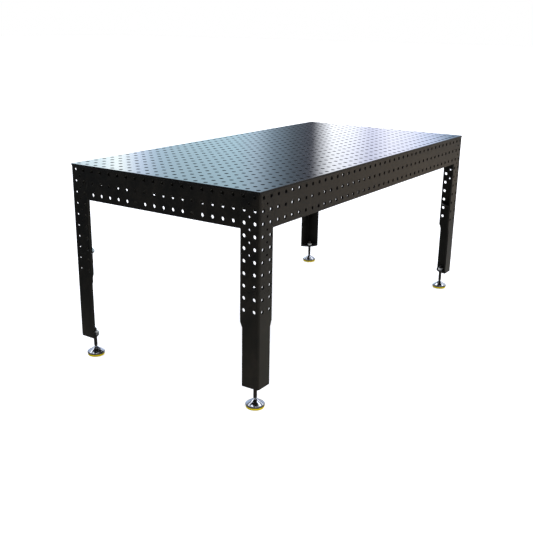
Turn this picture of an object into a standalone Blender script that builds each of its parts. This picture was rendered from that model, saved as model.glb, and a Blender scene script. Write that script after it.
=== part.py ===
"""Perforated welding table, 2000 x 1000 x 900 mm, on four swivel levelling feet.

Run it from Blender's text editor, or with blender --background --python part.py.
Units are metres and +Z is up. The origin is on the floor under the middle of the
table, and +X runs along the long side. Plates are flat blanks drawn as 2D curves,
the legs are folded angles, and the feet are turned from half profiles.
"""

import math

import bmesh
import bpy

# ---------------------------------------------------------------- dimensions
MM = 0.001
LENGTH = 2.000           # outside, along X
WIDTH = 1.000            # outside, along Y
HEIGHT = 0.900           # floor to work surface
TOP_T = 0.008            # work surface plate
SIDE_T = 0.008           # skirts and legs
RIB_T = 0.006
GAP = 0.0003             # between pieces that are welded or touch

PITCH = 0.050            # fixture hole grid
FIRST_HOLE = 0.025       # from each outside face to the first row of holes
HOLE_R = 0.008           # 16 mm fixture holes
TIE_HOLE_R = 0.005       # small holes between the two hole columns of a leg

SKIRT_DEPTH = 0.150      # from the work surface to the skirt's lower edge
SKIRT_ROWS = 3

LEG_WIDE = 0.090         # flange width beside the perforated part
LEG_NARROW = 0.080       # flange width below it
LEG_TAPER_TOP = 0.525    # depths below the work surface
LEG_TAPER_END = 0.550
LEG_DEPTH = 0.800
LEG_BEND_R = 0.010       # outside radius of the fold
LEG_ROWS = 10
TIE_ROWS = 5

LONG_RIB_Y = 0.150
LONG_RIB_DEPTH = 0.105
HAUNCH = 0.035           # full-depth length at each end of a long rib
HAUNCH_END = 0.075
CROSS_RIB_X = (-0.800, -0.400, 0.0, 0.400, 0.800)
CROSS_RIB_DEPTH = 0.092  # the three inner cross ribs, and the ends of the outer two
OUTER_RIB_DEPTH = 0.131  # the first and last cross rib, between
OUTER_RIB_FULL = 0.360   # these distances from the middle
OUTER_RIB_EASED = 0.440
LAP_DEPTH = 0.050        # where crossing ribs meet in their slots

GUSSET_R = 0.080         # quarter-round plates inside the legs
GUSSET_T = 0.006
GUSSET_DEPTH = 0.394     # depth of the upper face
FOOT_PLATE_T = 0.008

FOOT_INSET = 0.044       # stud axis from both outside faces
STUD_R = 0.008           # M16
STUD_NECK_R = 0.0038
STUD_TOP_Z = 0.132
BALL_R = 0.0075
BALL_Z = 0.030
NUT_AF = 0.024
NUT_H = 0.010
SEAT_IN = 0.0078
SEAT_OUT = 0.0093
CAVITY_R = SEAT_OUT + GAP
BELL_R = 0.040
BELL_BOTTOM_Z = 0.010
BELL_TOP_Z = 0.040
PAD_R = 0.038
PAD_TOP_Z = 0.012

TOP_HOLE_STEP = (7, 5)   # of the work surface's holes, every 7th along X and 5th along Y is cut
TOP_HOLE_SIDES = 8
SIDE_HOLE_STEP = 1       # skirts: 0 leaves the fixture holes out
LEG_HOLES = True
SIDE_HOLE_SIDES = 6

HALF_L, HALF_W = LENGTH / 2, WIDTH / 2
Z_UNDER = HEIGHT - TOP_T - GAP       # top of everything under the work surface
Z_LEG_END = HEIGHT - LEG_DEPTH
Z_PLATE = Z_LEG_END + FOOT_PLATE_T   # upper face of a foot plate

# corner name: x sign, y sign, turn about Z that carries the front left leg there
CORNERS = {
    "front_left": (-1, -1, 0.0),
    "front_right": (1, -1, math.pi / 2),
    "rear_right": (1, 1, math.pi),
    "rear_left": (-1, 1, -math.pi / 2),
}

# ------------------------------------------------------------------- the scene
for old in list(bpy.data.objects):
    bpy.data.objects.remove(old, do_unlink=True)

table = bpy.data.collections.new("welding_table")
tools = bpy.data.collections.new("cutters")
tools.hide_render = True
for made in (table, tools):
    bpy.context.scene.collection.children.link(made)


def material(name, colour, metallic, roughness):
    made = bpy.data.materials.new(name)
    made.use_nodes = True
    shader = made.node_tree.nodes["Principled BSDF"]
    shader.inputs["Base Color"].default_value = (*colour, 1.0)
    shader.inputs["Metallic"].default_value = metallic
    shader.inputs["Roughness"].default_value = roughness
    return made


TOP_STEEL = material("work_surface_steel", (0.20, 0.21, 0.23), 0.9, 0.22)
BLACK_STEEL = material("black_coated_steel", (0.045, 0.043, 0.040), 0.6, 0.45)
INNER_STEEL = material("inner_black_steel", (0.035, 0.035, 0.035), 0.6, 0.5)
STUD_STEEL = material("dark_stud_steel", (0.12, 0.11, 0.10), 0.9, 0.4)
ZINC = material("zinc_plated_steel", (0.62, 0.62, 0.60), 1.0, 0.3)
CHROME = material("polished_bell", (0.80, 0.80, 0.82), 1.0, 0.08)
YELLOW_RUBBER = material("yellow_rubber", (0.78, 0.58, 0.02), 0.0, 0.6)
NYLON = material("ball_seat_nylon", (0.08, 0.08, 0.08), 0.0, 0.5)

# ---------------------------------------------------------------------- helpers


def circle(x, y, radius, sides):
    """A polygon with a flat side up, so that a hole's walls face the grid."""
    return [
        (
            x + radius * math.cos(2 * math.pi * (k + 0.5) / sides),
            y + radius * math.sin(2 * math.pi * (k + 0.5) / sides),
        )
        for k in range(sides)
    ]


def outline_curve(name, loops, thickness):
    """A flat blank: the first loop is its outline and the others are its holes."""
    curve = bpy.data.curves.new(name, "CURVE")
    curve.dimensions = "2D"
    curve.fill_mode = "BOTH"
    curve.extrude = thickness / 2
    for loop in loops:
        spline = curve.splines.new("POLY")
        spline.points.add(len(loop) - 1)
        for point, (x, y) in zip(spline.points, loop):
            point.co = (x, y, 0.0, 1.0)
        spline.use_cyclic_u = True
    return curve


def put(name, data, skin, location=(0, 0, 0), rotation=(0, 0, 0), into=table):
    if skin and not data.materials:
        data.materials.append(skin)
    made = bpy.data.objects.new(name, data)
    made.location = location
    made.rotation_euler = rotation
    into.objects.link(made)
    return made


def as_mesh(name, curve):
    """The blank as a welded mesh, for a piece that a Boolean cuts or that cuts one."""
    guide = put(name + "_curve", curve, None, into=tools)
    bpy.context.view_layer.update()
    graph = bpy.context.evaluated_depsgraph_get()
    mesh = bpy.data.meshes.new_from_object(guide.evaluated_get(graph))
    bpy.data.objects.remove(guide, do_unlink=True)
    bm = bmesh.new()
    bm.from_mesh(mesh)
    bmesh.ops.remove_doubles(bm, verts=bm.verts, dist=1e-6)
    bmesh.ops.recalc_face_normals(bm, faces=bm.faces)
    bm.to_mesh(mesh)
    bm.free()
    mesh.name = name
    return mesh


def cut(target, cutters):
    for cutter in cutters:
        cutter.hide_render = True
        cutter.display_type = "WIRE"
        boolean = target.modifiers.new("cut_" + cutter.name, "BOOLEAN")
        boolean.operation = "DIFFERENCE"
        boolean.solver = "EXACT"
        boolean.object = cutter


def turned(name, profile, sides, skin, closed=False):
    """A half profile of (radius, height) points for a Screw modifier, as a mesh of edges."""
    bm = bmesh.new()
    points = [bm.verts.new((r, 0.0, z)) for r, z in profile]
    pairs = list(zip(points, points[1:]))
    if closed:
        pairs.append((points[-1], points[0]))
    for a, b in pairs:
        bm.edges.new((a, b))
    mesh = bpy.data.meshes.new(name)
    bm.to_mesh(mesh)
    bm.free()
    mesh.materials.append(skin)

    def copy(corner, location):
        made = put(f"{name}_{corner}", mesh, None, location)
        screw = made.modifiers.new("turned", "SCREW")
        screw.axis = "Z"
        screw.steps = screw.render_steps = sides
        screw.use_merge_vertices = True
        screw.merge_threshold = 1e-5
        screw.use_smooth_shade = True
        return made

    return copy


def grid(half, step=1):
    """Centres of the fixture holes across a side, every step-th one, kept symmetrical."""
    count = round(2 * half / PITCH)
    places = [-half + FIRST_HOLE + PITCH * i for i in range(count)]
    return places[(count - 1) % step // 2 :: step]


UPRIGHT = (math.pi / 2, 0, 0)                    # blank's Y becomes up, thickness along Y
UPRIGHT_SIDE = (math.pi / 2, 0, math.pi / 2)     # the same, turned to run along Y

# ------------------------------------------------------------------ work surface
slab = [(-HALF_L, -HALF_W), (HALF_L, -HALF_W), (HALF_L, HALF_W), (-HALF_L, HALF_W)]
fixture_holes = [
    circle(x, y, HOLE_R, TOP_HOLE_SIDES)
    for x in grid(HALF_L, TOP_HOLE_STEP[0])
    for y in grid(HALF_W, TOP_HOLE_STEP[1])
]
put(
    "top_plate",
    outline_curve("top_plate", [slab, *fixture_holes], TOP_T),
    TOP_STEEL,
    (0, 0, HEIGHT - TOP_T / 2),
)

# ----------------------------------------------------------------------- skirts
# A skirt's blank has its origin on the work surface's level, at mid length.


def skirt_blank(name, half):
    reach = half - LEG_WIDE - GAP
    low, high = -SKIRT_DEPTH, -TOP_T - GAP
    loops = [[(-reach, low), (reach, low), (reach, high), (-reach, high)]]
    if SIDE_HOLE_STEP:
        loops += [
            circle(u, -FIRST_HOLE - PITCH * row, HOLE_R, SIDE_HOLE_SIDES)
            for u in grid(half, SIDE_HOLE_STEP)
            if abs(u) < reach - HOLE_R
            for row in range(SKIRT_ROWS)
        ]
    return outline_curve(name, loops, SIDE_T)


long_skirt = skirt_blank("long_skirt", HALF_L)
short_skirt = skirt_blank("short_skirt", HALF_W)
inset = SIDE_T / 2
put("skirt_front", long_skirt, BLACK_STEEL, (0, -HALF_W + inset, HEIGHT), UPRIGHT)
put("skirt_rear", long_skirt, BLACK_STEEL, (0, HALF_W - inset, HEIGHT), UPRIGHT)
put("skirt_left", short_skirt, BLACK_STEEL, (-HALF_L + inset, 0, HEIGHT), UPRIGHT_SIDE)
put("skirt_right", short_skirt, BLACK_STEEL, (HALF_L - inset, 0, HEIGHT), UPRIGHT_SIDE)

# ------------------------------------------------------------------------- legs
# Section of the front left leg, seen from above, with its outside corner at the
# origin and its flanges along +X and +Y.


def bend(radius, steps=5):
    centre = LEG_BEND_R
    return [
        (
            centre - radius * math.cos(math.pi / 2 * k / steps),
            centre - radius * math.sin(math.pi / 2 * k / steps),
        )
        for k in range(steps + 1)
    ]


leg_section = (
    [(0.0, LEG_WIDE)]
    + bend(LEG_BEND_R)
    + [(LEG_WIDE, 0.0), (LEG_WIDE, SIDE_T)]
    + bend(LEG_BEND_R - SIDE_T)[::-1]
    + [(SIDE_T, LEG_WIDE)]
)
leg_height = Z_UNDER - Z_LEG_END
leg_mesh = as_mesh("leg", outline_curve("leg_section", [leg_section], leg_height))
leg_mesh.materials.append(BLACK_STEEL)
# the mesh's origin is half way up the leg; this is its depth below the work surface
LEG_MIDDLE = HEIGHT - (Z_UNDER + Z_LEG_END) / 2

# What the narrow lower part of a flange loses, drawn along the flange and up it
over = 0.010
taper = [
    (LEG_NARROW, -LEG_DEPTH - over),
    (LEG_WIDE + over, -LEG_DEPTH - over),
    (LEG_WIDE + over, -LEG_TAPER_TOP),
    (LEG_WIDE, -LEG_TAPER_TOP),
    (LEG_NARROW, -LEG_TAPER_END),
]
taper_mesh = as_mesh("leg_taper", outline_curve("leg_taper", [taper], 4 * SIDE_T))


def hole_cutter(name, sides, places, x_flange):
    """Cylinders through one flange, joined into one cutter."""
    bm = bmesh.new()
    for u, depth, radius in places:
        pin = bmesh.ops.create_cone(
            bm, cap_ends=True, segments=sides, radius1=radius, radius2=radius, depth=4 * SIDE_T
        )["verts"]
        for vert in pin:
            x, y, z = vert.co
            a = math.pi / sides
            x, y = x * math.cos(a) - y * math.sin(a), x * math.sin(a) + y * math.cos(a)
            # the pin lies along Y for the flange on X, and along X for the other
            if x_flange:
                vert.co = (u + x, -z, y - depth)
            else:
                vert.co = (z, u + x, y - depth)
    bmesh.ops.recalc_face_normals(bm, faces=bm.faces)
    mesh = bpy.data.meshes.new(name)
    bm.to_mesh(mesh)
    bm.free()
    return mesh


leg_holes = [
    (u, FIRST_HOLE + PITCH * row, HOLE_R)
    for u in (FIRST_HOLE, FIRST_HOLE + PITCH)
    for row in range(LEG_ROWS)
]
leg_tools = [
    put("taper_x", taper_mesh, None, (0, 0, LEG_MIDDLE), UPRIGHT, tools),
    put("taper_y", taper_mesh, None, (0, 0, LEG_MIDDLE), UPRIGHT_SIDE, tools),
]
if LEG_HOLES:
    for flange in (True, False):
        name = "holes_x" if flange else "holes_y"
        mesh = hole_cutter(name, SIDE_HOLE_SIDES, leg_holes, flange)
        leg_tools.append(put(name, mesh, None, (0, 0, LEG_MIDDLE), into=tools))

# The first leg is cut about the origin, and the four legs share its mesh.
pattern = put("leg_pattern", leg_mesh, None, into=tools)
cut(pattern, leg_tools)
bpy.context.view_layer.update()
evaluated = pattern.evaluated_get(bpy.context.evaluated_depsgraph_get())
folded_leg = bpy.data.meshes.new_from_object(evaluated)
folded_leg.name = "folded_leg"
bpy.data.objects.remove(pattern, do_unlink=True)
for tool in leg_tools:
    bpy.data.objects.remove(tool, do_unlink=True)
for corner, (sx, sy, turn) in CORNERS.items():
    put(
        "leg_" + corner,
        folded_leg,
        BLACK_STEEL,
        (sx * HALF_L, sy * HALF_W, HEIGHT - LEG_MIDDLE),
        (0, 0, turn),
    )

# ----------------------------------------------------------- plates in the legs
# A quarter circle about the leg's outside corner, clipped where the fold is.


def quarter_loop():
    low = SIDE_T + GAP
    clip = LEG_BEND_R + 0.002
    first = math.asin(low / GUSSET_R)
    last = math.pi / 2 - first
    loop = [(clip, low)]
    for k in range(9):
        angle = first + (last - first) * k / 8
        loop.append((GUSSET_R * math.cos(angle), GUSSET_R * math.sin(angle)))
    loop.append((low, clip))
    return loop


gusset = outline_curve("leg_gusset", [quarter_loop()], GUSSET_T)
stud_hole = circle(FOOT_INSET, FOOT_INSET, STUD_R + GAP, 20)
foot_plate = outline_curve("foot_plate", [quarter_loop(), stud_hole], FOOT_PLATE_T)
for corner, (sx, sy, turn) in CORNERS.items():
    x, y = sx * HALF_L, sy * HALF_W
    put(
        "leg_gusset_" + corner,
        gusset,
        INNER_STEEL,
        (x, y, HEIGHT - GUSSET_DEPTH - GUSSET_T / 2),
        (0, 0, turn),
    )
    put(
        "foot_plate_" + corner,
        foot_plate,
        INNER_STEEL,
        (x, y, Z_PLATE - FOOT_PLATE_T / 2),
        (0, 0, turn),
    )

# ------------------------------------------------------------------------- ribs
# The long ribs are slotted from below and the cross ribs from above, so that
# they lap where they cross.
SLOT = RIB_T / 2 + GAP
TOP_EDGE = -TOP_T - GAP

end = HALF_L - SIDE_T - GAP
long_loop = [
    (-end, TOP_EDGE),
    (-end, -SKIRT_DEPTH),
    (-end + HAUNCH, -SKIRT_DEPTH),
    (-end + HAUNCH_END, -LONG_RIB_DEPTH),
]
for x in CROSS_RIB_X:
    long_loop += [
        (x - SLOT, -LONG_RIB_DEPTH),
        (x - SLOT, -LAP_DEPTH),
        (x + SLOT, -LAP_DEPTH),
        (x + SLOT, -LONG_RIB_DEPTH),
    ]
long_loop += [
    (end - HAUNCH_END, -LONG_RIB_DEPTH),
    (end - HAUNCH, -SKIRT_DEPTH),
    (end, -SKIRT_DEPTH),
    (end, TOP_EDGE),
]
long_rib = outline_curve("long_rib", [long_loop], RIB_T)
put("rib_long_front", long_rib, INNER_STEEL, (0, -LONG_RIB_Y, HEIGHT), UPRIGHT)
put("rib_long_rear", long_rib, INNER_STEEL, (0, LONG_RIB_Y, HEIGHT), UPRIGHT)

end = HALF_W - SIDE_T - GAP


def cross_rib(name, lower_edge):
    """A cross rib from its lower edge, given from -Y to +Y, with the two slots above."""
    loop = [(-end, TOP_EDGE), *lower_edge, (end, TOP_EDGE)]
    for y in (LONG_RIB_Y, -LONG_RIB_Y):
        loop += [
            (y + SLOT, TOP_EDGE),
            (y + SLOT, -LAP_DEPTH - GAP),
            (y - SLOT, -LAP_DEPTH - GAP),
            (y - SLOT, TOP_EDGE),
        ]
    return outline_curve(name, [loop], RIB_T)


inner_rib = cross_rib("inner_cross_rib", [(-end, -CROSS_RIB_DEPTH), (end, -CROSS_RIB_DEPTH)])
outer_rib = cross_rib(
    "outer_cross_rib",
    [
        (-end, -CROSS_RIB_DEPTH),
        (-OUTER_RIB_EASED, -CROSS_RIB_DEPTH),
        (-OUTER_RIB_FULL, -OUTER_RIB_DEPTH),
        (OUTER_RIB_FULL, -OUTER_RIB_DEPTH),
        (OUTER_RIB_EASED, -CROSS_RIB_DEPTH),
        (end, -CROSS_RIB_DEPTH),
    ],
)
for number, x in enumerate(CROSS_RIB_X, 1):
    blank = outer_rib if x in (CROSS_RIB_X[0], CROSS_RIB_X[-1]) else inner_rib
    put(f"rib_cross_{number}", blank, INNER_STEEL, (x, 0, HEIGHT), UPRIGHT_SIDE)

# -------------------------------------------------------------- levelling feet
# Every turned piece of a foot has its origin at the centre of the ball.


def arc(radius, first, last, steps):
    """Points on a circle about the ball's centre, in degrees from straight up."""
    angles = [math.radians(first + (last - first) * k / steps) for k in range(steps + 1)]
    return [(radius * math.sin(a), radius * math.cos(a)) for a in angles]


stud_top = STUD_TOP_Z - BALL_Z
neck_angle = math.degrees(math.asin(STUD_NECK_R / BALL_R))
stud_profile = (
    [(0.0, stud_top), (STUD_R - 0.0012, stud_top), (STUD_R, stud_top - 0.0012)]
    + [(STUD_R, 0.0440 - BALL_Z), (STUD_NECK_R, 0.0428 - BALL_Z)]
    + arc(BALL_R, neck_angle, 170.0, 7)
    + [(0.0, -BALL_R * math.cos(math.radians(10)))]
)
retainer_profile = arc(SEAT_OUT, 55.0, 85.0, 3) + arc(SEAT_IN, 85.0, 55.0, 3)
seat_profile = (
    [(0.0, -SEAT_IN * math.cos(math.radians(15)))]
    + arc(SEAT_IN, 165.0, 106.0, 4)
    + arc(SEAT_OUT, 106.0, 168.0, 4)
    + [(0.0, -SEAT_OUT * math.cos(math.radians(12)))]
)
mouth_r = 0.0066
bell_profile = [
    (mouth_r, math.sqrt(CAVITY_R**2 - mouth_r**2)),
    (0.0069, BELL_TOP_Z - BALL_Z),
    (0.0079, BELL_TOP_Z - BALL_Z),
    (0.0088, BELL_TOP_Z - BALL_Z - 0.0012),
    (0.0240, 0.0276 - BALL_Z),
    (0.0382, 0.0186 - BALL_Z),
    (BELL_R, 0.0164 - BALL_Z),
    (BELL_R, BELL_BOTTOM_Z - BALL_Z),
    (PAD_R + GAP, BELL_BOTTOM_Z - BALL_Z),
    (PAD_R + GAP, PAD_TOP_Z + GAP - BALL_Z),
    (CAVITY_R, PAD_TOP_Z + GAP - BALL_Z),
    (CAVITY_R, 0.0),
    (CAVITY_R * math.cos(math.radians(25)), CAVITY_R * math.sin(math.radians(25))),
]
# The pad's middle fills the bell's bore up to the ball seat, which bears on it.
pad_profile = [
    (0.0, -CAVITY_R),
    (CAVITY_R - GAP, -CAVITY_R),
    (CAVITY_R - GAP, PAD_TOP_Z - BALL_Z),
    (PAD_R, PAD_TOP_Z - BALL_Z),
    (PAD_R, 0.002 - BALL_Z),
    (PAD_R - 0.002, -BALL_Z),
    (0.0, -BALL_Z),
]
stud = turned("levelling_stud", stud_profile, 16, STUD_STEEL)
retainer = turned("ball_retainer", retainer_profile, 16, NYLON, closed=True)
seat = turned("ball_seat", seat_profile, 16, NYLON)
bell = turned("foot_bell", bell_profile, 28, CHROME, closed=True)
pad = turned("foot_pad", pad_profile, 28, YELLOW_RUBBER)

corner_r = NUT_AF / 2 / math.cos(math.pi / 6)
nut = outline_curve(
    "lock_nut", [circle(0, 0, corner_r, 6), circle(0, 0, STUD_R + GAP, 20)], NUT_H
)
for corner, (sx, sy, turn) in CORNERS.items():
    x, y = sx * (HALF_L - FOOT_INSET), sy * (HALF_W - FOOT_INSET)
    for piece in (stud, retainer, seat, bell, pad):
        piece(corner, (x, y, BALL_Z))
    put("lock_nut_" + corner, nut, ZINC, (x, y, Z_PLATE + GAP + NUT_H / 2))
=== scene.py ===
"""Looks of the perforated welding table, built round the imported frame."""

import math

import bmesh
import bpy
import numpy as np
from mathutils import Matrix, Vector
from mathutils.geometry import delaunay_2d_cdt


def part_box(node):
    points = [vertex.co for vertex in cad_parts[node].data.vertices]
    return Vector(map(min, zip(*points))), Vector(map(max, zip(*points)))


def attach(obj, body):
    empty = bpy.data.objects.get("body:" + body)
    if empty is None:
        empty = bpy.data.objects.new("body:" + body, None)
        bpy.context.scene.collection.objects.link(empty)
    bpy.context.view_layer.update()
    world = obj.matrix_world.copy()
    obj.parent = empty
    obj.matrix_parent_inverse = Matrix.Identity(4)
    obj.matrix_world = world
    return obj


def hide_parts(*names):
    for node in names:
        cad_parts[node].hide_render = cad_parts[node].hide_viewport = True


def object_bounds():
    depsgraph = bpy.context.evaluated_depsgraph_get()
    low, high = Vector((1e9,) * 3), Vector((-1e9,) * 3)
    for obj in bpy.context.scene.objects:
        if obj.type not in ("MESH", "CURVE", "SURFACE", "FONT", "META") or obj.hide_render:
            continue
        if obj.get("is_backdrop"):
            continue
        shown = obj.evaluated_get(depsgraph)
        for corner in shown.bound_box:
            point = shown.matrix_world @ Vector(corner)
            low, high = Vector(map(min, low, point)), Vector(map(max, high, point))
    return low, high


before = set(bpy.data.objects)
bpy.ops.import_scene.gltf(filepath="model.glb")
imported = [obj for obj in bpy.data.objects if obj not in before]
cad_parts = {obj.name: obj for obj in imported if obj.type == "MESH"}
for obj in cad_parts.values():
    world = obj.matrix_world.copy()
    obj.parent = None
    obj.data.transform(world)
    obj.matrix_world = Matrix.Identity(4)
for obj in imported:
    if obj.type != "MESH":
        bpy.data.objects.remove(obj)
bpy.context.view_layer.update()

MM = 0.001

# ------------------------------------------------------------------ sizes (mm)
# Everything is placed from the frame's own boxes.
top_low, top_high = (v * 1000 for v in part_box("top_plate"))
HALF_L, HALF_W, HEIGHT = top_high.x, top_high.y, top_high.z
TOP_T = top_high.z - top_low.z
skirt_low, skirt_high = (v * 1000 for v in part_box("skirt_front"))
SIDE_T = skirt_high.y - skirt_low.y
SKIRT_LOW = skirt_low.z
leg_low, leg_high = (v * 1000 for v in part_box("leg_front_left"))
LEG_WIDE = leg_high.x - leg_low.x
LEG_END = leg_low.z
gusset_low, gusset_high = (v * 1000 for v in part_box("leg_gusset_front_left"))
plate_low, plate_high = (v * 1000 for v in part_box("foot_plate_front_left"))
stud_low, stud_high = (v * 1000 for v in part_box("levelling_stud_front_left"))
FOOT_X = -(stud_low.x + stud_high.x) / 2
FOOT_Y = -(stud_low.y + stud_high.y) / 2
nut_low, nut_high = (v * 1000 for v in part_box("lock_nut_front_left"))
PITCH, FIRST, HOLE_R, TIE_R = 50.0, 25.0, 8.0, 5.0
BALL_Z = 30.0
CORNERS = {
    "front_left": (-1, -1, 0.0),
    "front_right": (1, -1, math.pi / 2),
    "rear_right": (1, 1, math.pi),
    "rear_left": (-1, 1, -math.pi / 2),
}


# ==================================================================== materials
class Graph:
    """A short way to write a material's nodes."""

    def __init__(self, name):
        self.material = bpy.data.materials.new(name)
        self.material.use_nodes = True
        self.tree = self.material.node_tree
        self.shader = self.tree.nodes["Principled BSDF"]
        self.place = self.add("ShaderNodeTexCoord").outputs["Object"]

    def add(self, kind, **settings):
        node = self.tree.nodes.new(kind)
        for key, value in settings.items():
            setattr(node, key, value)
        return node

    def join(self, a, b):
        self.tree.links.new(a, b)

    def scaled(self, scale, turn=(0, 0, 0)):
        node = self.add("ShaderNodeMapping")
        node.inputs["Scale"].default_value = scale
        node.inputs["Rotation"].default_value = turn
        self.join(self.place, node.inputs["Vector"])
        return node.outputs["Vector"]

    def noise(self, scale, detail=4.0, rough=0.55, distort=0.0, vector=None):
        node = self.add("ShaderNodeTexNoise")
        node.inputs["Scale"].default_value = scale
        node.inputs["Detail"].default_value = detail
        node.inputs["Roughness"].default_value = rough
        node.inputs["Distortion"].default_value = distort
        self.join(vector or self.place, node.inputs["Vector"])
        return node.outputs["Fac"]

    def cells(self, scale, feature="F1", vector=None, out="Distance"):
        node = self.add("ShaderNodeTexVoronoi", feature=feature)
        node.inputs["Scale"].default_value = scale
        self.join(vector or self.place, node.inputs["Vector"])
        return node.outputs[out]

    def ramp(self, value, stops, mode="LINEAR"):
        node = self.add("ShaderNodeValToRGB")
        node.color_ramp.interpolation = mode
        elements = node.color_ramp.elements
        while len(elements) < len(stops):
            elements.new(0.5)
        for element, (at, colour) in zip(elements, stops):
            element.position = at
            element.color = (*colour, 1.0) if len(colour) == 3 else colour
        self.join(value, node.inputs["Fac"])
        return node.outputs["Color"]

    def level(self, value, low, high, out_low, out_high):
        node = self.add("ShaderNodeMapRange")
        for key, number in zip(
            ("From Min", "From Max", "To Min", "To Max"), (low, high, out_low, out_high)
        ):
            node.inputs[key].default_value = number
        self.join(value, node.inputs["Value"])
        return node.outputs["Result"]

    def math(self, kind, a, b=None):
        node = self.add("ShaderNodeMath", operation=kind)
        for socket, value in zip(node.inputs, (a, b)):
            if value is None:
                continue
            if isinstance(value, (int, float)):
                socket.default_value = value
            else:
                self.join(value, socket)
        return node.outputs["Value"]

    def blend(self, factor, a, b, kind="MIX"):
        node = self.add("ShaderNodeMix", data_type="RGBA", blend_type=kind)
        for socket, value in zip((node.inputs[0], node.inputs[6], node.inputs[7]), (factor, a, b)):
            if isinstance(value, (int, float)):
                socket.default_value = value
            elif isinstance(value, tuple):
                socket.default_value = (*value, 1.0)
            else:
                self.join(value, socket)
        return node.outputs[2]

    def bump(self, height, strength, distance, under=None):
        node = self.add("ShaderNodeBump")
        node.inputs["Strength"].default_value = strength
        node.inputs["Distance"].default_value = distance
        self.join(height, node.inputs["Height"])
        if under is not None:
            self.join(under, node.inputs["Normal"])
        return node.outputs["Normal"]

    def finish(self, colour=None, rough=None, normal=None, **constants):
        if colour is not None:
            self.join(colour, self.shader.inputs["Base Color"])
        if rough is not None:
            self.join(rough, self.shader.inputs["Roughness"])
        if normal is not None:
            self.join(normal, self.shader.inputs["Normal"])
        for key, value in constants.items():
            self.shader.inputs[key.replace("_", " ")].default_value = value
        return self.material


def work_surface_material():
    """Blackened, oiled steel with a satin gloss, faint mill clouds and rubbing marks."""
    g = Graph("work_surface_satin_black")
    clouds = g.noise(3.2, 5, 0.6, 0.6)
    patches = g.noise(17.0, 6, 0.62)
    rubbed = g.noise(5.0, 6, 0.7, 0.2, g.scaled((1.0, 34.0, 1.0), (0, 0, 0.05)))
    cross = g.noise(4.0, 6, 0.7, 0.2, g.scaled((30.0, 1.0, 1.0), (0, 0, -0.12)))
    fine = g.noise(420.0, 3, 0.6)
    mixed = g.math("ADD", g.math("MULTIPLY", clouds, 0.55), g.math("MULTIPLY", patches, 0.45))
    colour = g.ramp(
        mixed,
        [(0.30, (0.040, 0.044, 0.052)), (0.50, (0.058, 0.063, 0.072)), (0.72, (0.085, 0.088, 0.095))],
    )
    marks = g.level(g.math("MAXIMUM", rubbed, cross), 0.60, 0.74, 0.0, 1.0)
    colour = g.blend(g.math("MULTIPLY", marks, 0.22), colour, (0.16, 0.165, 0.175))
    rough = g.level(mixed, 0.3, 0.7, 0.075, 0.135)
    rough = g.math("ADD", rough, g.math("MULTIPLY", marks, 0.05))
    rough = g.math("ADD", rough, g.level(fine, 0.3, 0.7, -0.015, 0.015))
    normal = g.bump(fine, 0.10, 0.00004)
    normal = g.bump(g.noise(2.4, 2, 0.5), 0.35, 0.0010, normal)
    return g.finish(colour, rough, normal, Metallic=0.85)


def black_steel_material(name, dark, light, gloss=0.0, streak=True):
    """Black plates: a thin satin coat with clouds, dust and fine grain."""
    g = Graph(name)
    clouds = g.noise(4.5, 5, 0.6, 0.4)
    patches = g.noise(28.0, 6, 0.65)
    drawn = g.noise(6.0, 6, 0.7, 0.1, g.scaled((1.0, 1.0, 0.06)))
    grain = g.noise(650.0, 3, 0.6)
    specks = g.cells(240.0)
    mixed = g.math("ADD", g.math("MULTIPLY", clouds, 0.5), g.math("MULTIPLY", patches, 0.3))
    mixed = g.math("ADD", mixed, g.math("MULTIPLY", drawn, 0.2))
    middle = tuple(0.65 * a + 0.35 * b for a, b in zip(dark, light))
    colour = g.ramp(mixed, [(0.38, dark), (0.5, middle), (0.62, light)])
    dust = g.level(specks, 0.02, 0.10, 0.35, 0.0)
    dust = g.math("MULTIPLY", dust, g.level(patches, 0.5, 0.75, 0.0, 1.0))
    colour = g.blend(dust, colour, tuple(min(1.0, c * 3.0) for c in light))
    rough = g.level(mixed, 0.3, 0.7, 0.36 - gloss, 0.50 - gloss)
    rough = g.math("ADD", rough, g.level(grain, 0.3, 0.7, -0.03, 0.03))
    normal = g.bump(grain, 0.18, 0.00006)
    normal = g.bump(g.noise(55.0, 3, 0.5), 0.25, 0.00018, normal)
    return g.finish(colour, rough, normal, Metallic=0.0, Specular_IOR_Level=0.20)


def worn_edge_material(name, dark, bare):
    """Cut edges where the black is rubbed through here and there."""
    g = Graph(name)
    rub = g.noise(45.0, 6, 0.7, 0.5)
    fine = g.noise(500.0, 3, 0.6)
    mask = g.level(g.math("ADD", rub, g.math("MULTIPLY", fine, 0.12)), 0.56, 0.74, 0.0, 1.0)
    colour = g.blend(mask, dark, bare)
    rough = g.level(mask, 0.0, 1.0, 0.42, 0.30)
    return g.finish(colour, rough, g.bump(fine, 0.25, 0.00006), Metallic=0.55)


def weld_material():
    g = Graph("black_weld_bead")
    clouds = g.noise(160.0, 5, 0.65)
    colour = g.ramp(
        clouds, [(0.3, (0.028, 0.027, 0.027)), (0.55, (0.055, 0.050, 0.046)), (0.75, (0.10, 0.092, 0.085))]
    )
    rough = g.level(clouds, 0.3, 0.7, 0.34, 0.55)
    return g.finish(colour, rough, g.bump(g.noise(900.0, 3, 0.6), 0.3, 0.00008), Metallic=0.5)


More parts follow.
